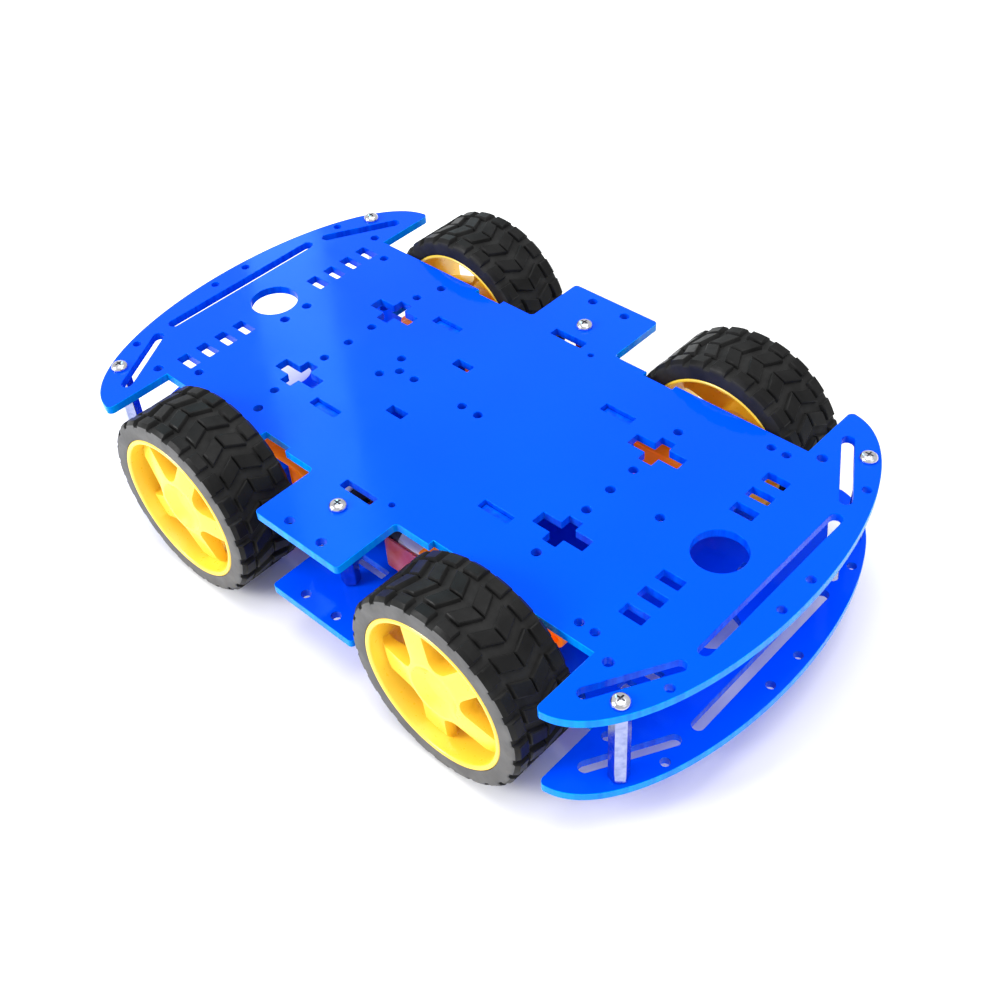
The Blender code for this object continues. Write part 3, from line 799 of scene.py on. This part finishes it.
def double_d(radius, half_flat):
    """A circle with two flats cut off, at half_flat above and below its middle."""
    steps = 8
    flat_angle = math.degrees(math.asin(half_flat / radius))
    right = arc((0, 0), radius, -flat_angle, flat_angle, steps)
    left = arc((0, 0), radius, 180 - flat_angle, 180 + flat_angle, steps)
    return right + left


def in_mm(points):
    return [(x * MM, y * MM) for x, y in points]


def rim_mesh(look):
    """Barrel and five spoke star. The star's face is dished at the hub and falls towards the barrel."""
    segments = 120
    barrel_profile = in_mm([
        (26.4, 11.9), (26.4, 12.7), (26.1, 13.0), (25.2, 13.0), (24.9, 12.8), (24.7, 12.3),
        (25.2, -12.3), (25.4, -12.8), (26.1, -12.9), (26.4, -12.6), (26.4, -11.9),
        (27.0, -11.8), (27.0, 11.8),
    ])
    hub_face = [(0.0, 8.6), (5.4, 8.6), (5.9, 8.8), (8.7, 11.1), (9.1, 11.4), (10.1, 11.4), (10.7, 11.2)]
    web = [(21.8, 9.2), (23.8, 8.2), (25.9, 6.2), (25.9, 4.6), (21.8, 5.4), (9.5, 5.4), (8.2, 4.8)]
    inner_hub = [(7.4, 0.0), (5.0, -1.0), (4.7, -14.6), (4.4, -15.0), (0.0, -15.0)]
    barrel = along_y(lathed(barrel_profile, segments, closed=True))
    disc = along_y(lathed(in_mm(hub_face + web + inner_hub), segments))
    half_pitch = math.pi / SPOKE_COUNT
    windows = [window_outline(half_pitch * (2 * index + 1)) for index in range(SPOKE_COUNT)]
    window_cutters = [moved(along_y(extruded([window], 14.0 * MM)), y=8.0 * MM) for window in windows]
    bore = moved(along_y(extruded([double_d(2.95 * MM, 2.1 * MM)], 18.0 * MM)), y=-15.0 * MM)
    star = combined(disc, window_cutters + [bore], "DIFFERENCE")
    rim = combined(barrel, [star], "UNION")
    return joined([(bevelled(rim, 0.35 * MM), look["rim"])])


def shaft_mesh(look):
    length = 37.2 * MM
    shaft = along_y(extruded([double_d(2.7 * MM, 1.85 * MM)], length, 0.3 * MM, 1))
    return joined([(shaft, look["ivory"])])


def cross_recess(length, width, depth):
    """Cutter for a cross recess with its mouth at z = 0. Its arms narrow to their ends and downwards."""
    bottom_scale = 0.55
    half_end = width * 0.4
    arm = [(length / 2, -half_end), (length / 2, half_end), (width / 2, width / 2)]
    outline = []
    for across, up in ((1, 0), (0, 1), (-1, 0), (0, -1)):
        outline += [(x * across - y * up, x * up + y * across) for x, y in arm]
    cutter = extruded([outline], 2 * depth, 0.0)
    for vertex in cutter.vertices:
        if vertex.co.z < 0:
            vertex.co.x *= bottom_scale
            vertex.co.y *= bottom_scale
    return cutter


def screw_head(radius, height):
    """Pan head on z = 0 with a cross recess."""
    shape = [(0.0, 1.0), (0.35, 0.98), (0.66, 0.88), (0.88, 0.66),
             (0.98, 0.36), (1.0, 0.12), (0.96, 0.0), (0.0, 0.0)]
    head = lathed([(across * radius, up * height) for across, up in shape], 40)
    recess = moved(cross_recess(radius * 1.25, radius * 0.27, height * 0.62), z=height)
    return combined(head, [recess], "DIFFERENCE")


def thread(radius, start, end, segments):
    """Threaded shank as a stack of ridges, from z = start down to z = end."""
    root_radius = radius * 0.86
    profile = [(0.0, start), (radius, start)]
    for index in range(int((start - end) / THREAD_PITCH)):
        z = start - index * THREAD_PITCH
        profile.append((radius, z - THREAD_PITCH * 0.1))
        profile.append((root_radius, z - THREAD_PITCH * 0.5))
        profile.append((radius, z - THREAD_PITCH * 0.9))
    profile += [(radius * 0.8, end), (0.0, end)]
    return lathed(profile, segments)


def hexagonal_bar(corner, top, bottom, chamfer, end_ratio=0.88):
    """Hexagonal bar along Z with its corners turned off at both ends."""
    end_radius = corner * end_ratio
    profile = [(0.0, top), (end_radius, top), (corner, top - chamfer),
               (corner, bottom + chamfer), (end_radius, bottom), (0.0, bottom)]
    return lathed(profile, 6)


def deck_screw_mesh(look):
    parts = [
        (screw_head(2.9 * MM, 2.0 * MM), look["nickel"]),
        (thread(1.35 * MM, HEAD_GAP, -SCREW_LENGTH, 20), look["nickel"]),
    ]
    return joined(parts)


def motor_bolt_mesh(look):
    """Bolt along local Y with its head outwards and a nut at the inner bracket."""
    grip = GEARBOX_THICKNESS + 2 * DECK_THICKNESS + 4 * CLEARANCE
    nut_height = 2.4 * MM
    head = screw_head(2.7 * MM, 2.1 * MM)
    shank = thread(1.4 * MM, HEAD_GAP, -BOLT_LENGTH, 14)
    nut = hexagonal_bar(3.1 * MM, -grip, -grip - nut_height, nut_height * 0.16, 0.86)
    return joined([(along_y(mesh), look["nickel"]) for mesh in (head, shank, nut)])


def standoff_mesh(look, length):
    """Hexagonal standoff, centred, with a blind bore in each end."""
    bar = hexagonal_bar(STANDOFF_ACROSS_FLATS / math.sqrt(3), length / 2, -length / 2, 0.35 * MM)
    bore, depth = STANDOFF_BORE_RADIUS, STANDOFF_BORE_DEPTH
    cutters = []
    for side in (1, -1):
        hole = lathed([(0.0, depth), (bore, depth), (bore, -depth), (0.0, -depth)], 24)
        cutters.append(moved(hole, z=side * length / 2))
    standoff = bevelled(combined(bar, cutters, "DIFFERENCE"), 0.12 * MM, 1)
    return joined([(standoff, look["standoff"])])


def gearbox_outline(inset=0.0):
    """Side view of the gearbox: round at the shaft's end, a little lower at the motor's end."""
    nose = arc((0, 0), GEARBOX_HALF_HEIGHT - inset, -90, 90, 36)
    shoulder_x = 6.5 * MM - GEARBOX_TAIL
    tail_z = 10.6 * MM - inset
    tail_x = inset - GEARBOX_TAIL
    top = [
        (shoulder_x, GEARBOX_HALF_HEIGHT - inset),
        (shoulder_x - 1.0 * MM, tail_z),
        (tail_x, tail_z),
    ]
    return nose + top + [(x, -z) for x, z in reversed(top)]


def gearbox_mesh(look):
    """Two half shells with a seam between them, an end lug, a locating peg and bosses round the shaft."""
    half_seam = 0.15 * MM
    half_thickness = GEARBOX_THICKNESS / 2
    shell_thickness = half_thickness - half_seam
    bores = [circle(0.0, 0.0, 3.0 * MM)]
    bores += [circle(BOLT_X, side * BOLT_HALF_SPACING, BOLT_HOLE_RADIUS) for side in (1, -1)]
    boss_profile = in_mm([(3.1, 0.0), (4.6, 0.0), (4.6, 0.45), (4.3, 0.7), (3.1, 0.7)])
    parts = []
    for side in (1, -1):
        shell = along_y(extruded([gearbox_outline()] + bores, shell_thickness, 0.5 * MM, 2))
        parts.append((moved(shell, y=side * (shell_thickness / 2 + half_seam)), look["gearbox"]))
        boss = lathed(boss_profile, 48, closed=True)
        boss.transform(Matrix.Rotation(-side * math.pi / 2, 4, "X"))
        parts.append((moved(boss, y=side * (half_thickness - 0.1 * MM)), look["gearbox"]))
    core = along_y(extruded([gearbox_outline(0.35 * MM)] + bores, 2.0 * MM, 0.1 * MM))
    parts.append((core, look["gearbox"]))
    peg_profile = in_mm([(0.0, 1.5), (1.6, 1.5), (1.95, 1.15), (2.0, -0.5), (0.0, -0.5)])
    peg = along_y(lathed(peg_profile, 32))
    parts.append((moved(peg, x=-11.0 * MM, y=half_thickness), look["gearbox"]))
    lug_x = GEARBOX_HALF_HEIGHT + 1.0 * MM
    lug_radius = 4.0 * MM
    lug_root_x = 9.0 * MM
    lug_outline = [(lug_root_x, -lug_radius)]
    lug_outline += arc((lug_x, 0.0), lug_radius, -90, 90, 20)
    lug_outline.append((lug_root_x, lug_radius))
    lug_hole = circle(lug_x + 0.5 * MM, 0.0, 1.5 * MM)
    parts.append((along_y(extruded([lug_outline, lug_hole], 3.0 * MM, 0.3 * MM, 1)), look["gearbox"]))
    for x, z in in_mm([(5.5, 7.0), (5.5, -7.0), (-30.8, 7.6), (-30.8, -7.6)]):
        head = screw_head(1.5 * MM, 0.7 * MM)
        head.transform(Matrix.Rotation(math.pi / 2, 4, "X"))
        parts.append((moved(head, x=x, y=-half_thickness - 0.02 * MM, z=z), look["nickel"]))
    return joined(parts)


def can_section(radius, half_thickness):
    """A circle with flats above and below, for the motor's can and cap."""
    steps = 22
    flat_angle = math.degrees(math.acos(half_thickness / radius))
    top = arc((0, 0), radius, flat_angle, 180 - flat_angle, steps)
    return top + [(x, -z) for x, z in reversed(top)]


def along_x(mesh):
    """Turns a section in XY, extruded along Z, to a section in YZ extruded along X."""
    mesh.transform(Matrix(((0, 0, 1, 0), (1, 0, 0, 0), (0, 1, 0, 0), (0, 0, 0, 1))))
    return mesh


def motor_mesh(look):
    """Steel can and black end cap, with its bearing bump and two brass terminals; x = 0 at the gearbox."""
    parts = []
    can = along_x(extruded([can_section(10.0 * MM, 7.5 * MM)], CAN_LENGTH, 0.7 * MM, 3))
    parts.append((moved(can, x=-CAN_LENGTH / 2), look["steel"]))
    overlap = 1.0 * MM
    cap = along_x(extruded([can_section(9.2 * MM, 7.1 * MM)], END_CAP_LENGTH + overlap, 0.5 * MM, 2))
    parts.append((moved(cap, x=(overlap - END_CAP_LENGTH) / 2 - CAN_LENGTH), look["black"]))
    end_x = -CAN_LENGTH - END_CAP_LENGTH
    bearing = lathed(in_mm([(0.0, 0.7), (2.4, 0.7), (3.0, 0.3), (3.0, -1.0), (0.0, -1.0)]), 32)
    bearing.transform(Matrix.Rotation(-math.pi / 2, 4, "Y"))
    parts.append((moved(bearing, x=end_x), look["black"]))
    for side in (1, -1):
        terminal = along_x(extruded([rectangle(0.0, 0.0, 2.2 * MM, 0.5 * MM)], 3.0 * MM, 0.08 * MM))
        parts.append((moved(terminal, x=end_x - 0.6 * MM, z=side * 7.6 * MM), look["brass"]))
    return joined(parts)


def strap_mesh(look):
    """Clear strip along one flat of the motor, round its end and back along the other flat."""
    inner = 7.8 * MM
    bend = 2.0 * MM
    end_x = -CAN_LENGTH - END_CAP_LENGTH - 1.0 * MM
    centre = (end_x + bend, inner - bend)
    inside = [(0.0, inner)] + arc(centre, bend, 90, 180, 8)
    outside = arc(centre, bend + STRAP_THICKNESS, 180, 90, 8) + [(0.0, inner + STRAP_THICKNESS)]
    outline = inside + [(x, -y) for x, y in reversed(inside)]
    outline += [(x, -y) for x, y in reversed(outside)] + outside
    return joined([(extruded([outline], STRAP_WIDTH, 0.1 * MM), look["clear"])])


# Assembly

def corner_matrix(joint_place):
    """Frame of a corner's drive, from its wheel joint's place."""
    side_x = 1 if joint_place[0] > 0 else -1
    side_y = 1 if joint_place[1] > 0 else -1
    axis = {(1, 1): None, (1, -1): "X", (-1, 1): "Y", (-1, -1): "Z"}[side_x, side_y]
    turn = Matrix.Rotation(math.pi, 4, axis) if axis else Matrix.Identity(4)
    return Matrix.Translation(Vector(joint_place)) @ turn


def wheel_turn(matrix, angle):
    """Turn about local Y that brings local +X to the angle, seen from the car's right side."""
    target = Vector((math.cos(angle), 0.0, math.sin(angle)))
    local = matrix.to_3x3().inverted() @ target
    return Matrix.Rotation(-math.atan2(local.z, local.x), 4, "Y")


def make_looks():
    return {
        "acrylic": acrylic_face_material(),
        # The outer edge's lighter cyan is a painted highlight; the holes' darker blue is painted shade on
        # the same cut acrylic.
        "acrylic_edge_painted_highlight": acrylic_edge_material("acrylic_edge_painted_highlight", (0.0, 0.20, 1.0), (0.0, 0.30, 1.0)),
        "acrylic_hole_painted_shade": acrylic_edge_material("acrylic_hole_painted_shade", (0.0, 0.05, 0.70), (0.0, 0.10, 0.85)),
        "rim": moulded_material("yellow_rim", (1.0, 0.64, 0.035), (1.0, 0.69, 0.05), 0.3,
                                Specular_IOR_Level=0.9),
        # The gearbox's red-orange base colour is painted shade on yellow plastic, and its red-orange
        # emission is a painted glow.
        "gearbox": moulded_material("yellow_gearbox", (1.0, 0.24, 0.0), (1.0, 0.30, 0.002), 0.42,
                                    Emission_Color=(1.0, 0.15, 0.0, 1.0), Emission_Strength=0.28),
        "ivory": moulded_material("white_shaft", (0.80, 0.77, 0.68), (0.88, 0.86, 0.78), 0.45),
        "black": moulded_material("black_cap", (0.012, 0.011, 0.012), (0.03, 0.028, 0.028), 0.4),
        # The outer sidewall's lighter grey is painted light; the carcass rubber also serves as painted
        # shade on the inner sidewall.
        "tyre_outer_side_painted_light": rubber_material("tyre_outer_side_painted_light", (0.105, 0.105, 0.107), (0.14, 0.14, 0.143), 0.6,
                                     Specular_IOR_Level=0.1),
        "tyre_carcass_and_painted_shade": rubber_material("tyre_carcass_and_painted_shade", (0.012, 0.012, 0.012), (0.022, 0.022, 0.022), 0.7,
                                        Specular_IOR_Level=0.15),
        "tyre_lug": rubber_material("tyre_lug", (0.004, 0.004, 0.004), (0.009, 0.009, 0.009), 0.4,
                                    Specular_IOR_Level=0.13),
        "nickel": nickel_material("nickel_plate", (0.50, 0.50, 0.54), (0.68, 0.68, 0.72)),
        # The standoffs' blue-lilac tint is a painted reflection of the blue decks on the nickel plate.
        "standoff": nickel_material("standoff_plate_painted_blue_reflection", (0.26, 0.30, 0.52), (0.38, 0.42, 0.66)),
        "steel": steel_can_material(),
        "brass": brass_material(),
        "clear": clear_plastic_material(),
    }


def build_decks(look):
    mesh = deck_mesh(look)
    for name in ("upper_deck", "lower_deck"):
        low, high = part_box(name)
        matrix = Matrix.Translation((low + high) / 2)
        place_piece(f"{name}_sheet", mesh, matrix, name)


def build_standoffs(look):
    """Six standoffs, each with a screw above the upper deck and one below the lower deck."""
    screw = deck_screw_mesh(look)
    low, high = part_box("front_left_standoff")
    standoff = standoff_mesh(look, high.z - low.z)
    turn = Matrix.Rotation(math.radians(STANDOFF_TURN), 4, "Z")
    upside_down = Matrix.Rotation(math.pi, 4, "X")
    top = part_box("upper_deck")[1].z + HEAD_GAP
    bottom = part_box("lower_deck")[0].z - HEAD_GAP
    for name in STANDOFFS:
        low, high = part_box(f"{name}_standoff")
        middle = (low + high) / 2
        matrix = Matrix.Translation(middle) @ turn
        place_piece(f"{name}_hexagon", standoff, matrix, f"{name}_standoff", 20)
        matrix = Matrix.Translation((middle.x, middle.y, top))
        place_piece(f"{name}_top_screw", screw, matrix, f"{name}_upper_screw")
        matrix = Matrix.Translation((middle.x, middle.y, bottom)) @ upside_down
        place_piece(f"{name}_bottom_screw", screw, matrix, f"{name}_lower_screw")


def build_brackets(look, corner):
    step = [(BRACKET_HALF_WIDTH, BRACKET_NECK_Z), (BRACKET_NECK_HALF_WIDTH, BRACKET_NECK_Z)]
    for which, neck in (("inner", []), ("outer", step)):
        node = f"{corner}_{which}_bracket"
        low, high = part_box(node)
        middle = (low + high) / 2
        mesh = bracket_mesh(look, low, high, neck)
        matrix = Matrix.Translation((middle.x, middle.y, 0.0))
        place_piece(f"{node}_plate", mesh, matrix, node)


def build_drives(look):
    """At each corner: brackets, gearbox, motor, strap and bolts on the chassis, and the turning wheel."""
    rim = rim_mesh(look)
    tyres = {sense: tyre_mesh(look, sense) for sense in (1, -1)}
    shaft = shaft_mesh(look)
    gearbox = gearbox_mesh(look)
    motor = motor_mesh(look)
    strap = strap_mesh(look)
    bolt = motor_bolt_mesh(look)
    gearbox_place = Matrix.Translation((0.0, GEARBOX_OFFSET_Y, 0.0))
    motor_place = Matrix.Translation((-GEARBOX_TAIL - CLEARANCE, GEARBOX_OFFSET_Y, 0.0))
    head_y = GEARBOX_OFFSET_Y + GEARBOX_THICKNESS / 2 + DECK_THICKNESS + 2 * CLEARANCE
    places = {joint["child"]: joint["pos_m"] for joint in frame["joints"]}
    for corner, (spoke_angle, sense, lug_angle) in CORNERS.items():
        build_brackets(look, corner)
        drive = corner_matrix(places[f"{corner}_wheel"])
        wheel = drive @ wheel_turn(drive, math.radians(spoke_angle))
        tread = drive @ wheel_turn(drive, math.radians(lug_angle))
        place_piece(f"{corner}_tread", tyres[sense], tread, f"{corner}_tyre", 30)
        place_piece(f"{corner}_star", rim, wheel, f"{corner}_rim", 40)
        place_piece(f"{corner}_axle", shaft, wheel @ gearbox_place, f"{corner}_shaft")
        matrix = drive @ gearbox_place
        place_piece(f"{corner}_gear_case", gearbox, matrix, f"{corner}_gearbox")
        matrix = drive @ motor_place
        place_piece(f"{corner}_can", motor, matrix, f"{corner}_motor")
        place_piece(f"{corner}_clip", strap, matrix, f"{corner}_strap")
        for which, side in (("first", 1), ("second", -1)):
            matrix = drive @ Matrix.Translation((BOLT_X, head_y, side * BOLT_HALF_SPACING))
            place_piece(f"{corner}_{which}_fixing", bolt, matrix, f"{corner}_{which}_bolt")


bpy.context.scene.view_settings.view_transform = "Standard"
make_camera()
make_world()
make_floor()
for light in LIGHTS:
    make_area_light(*light)
looks = make_looks()
build_decks(looks)
build_standoffs(looks)
build_drives(looks)
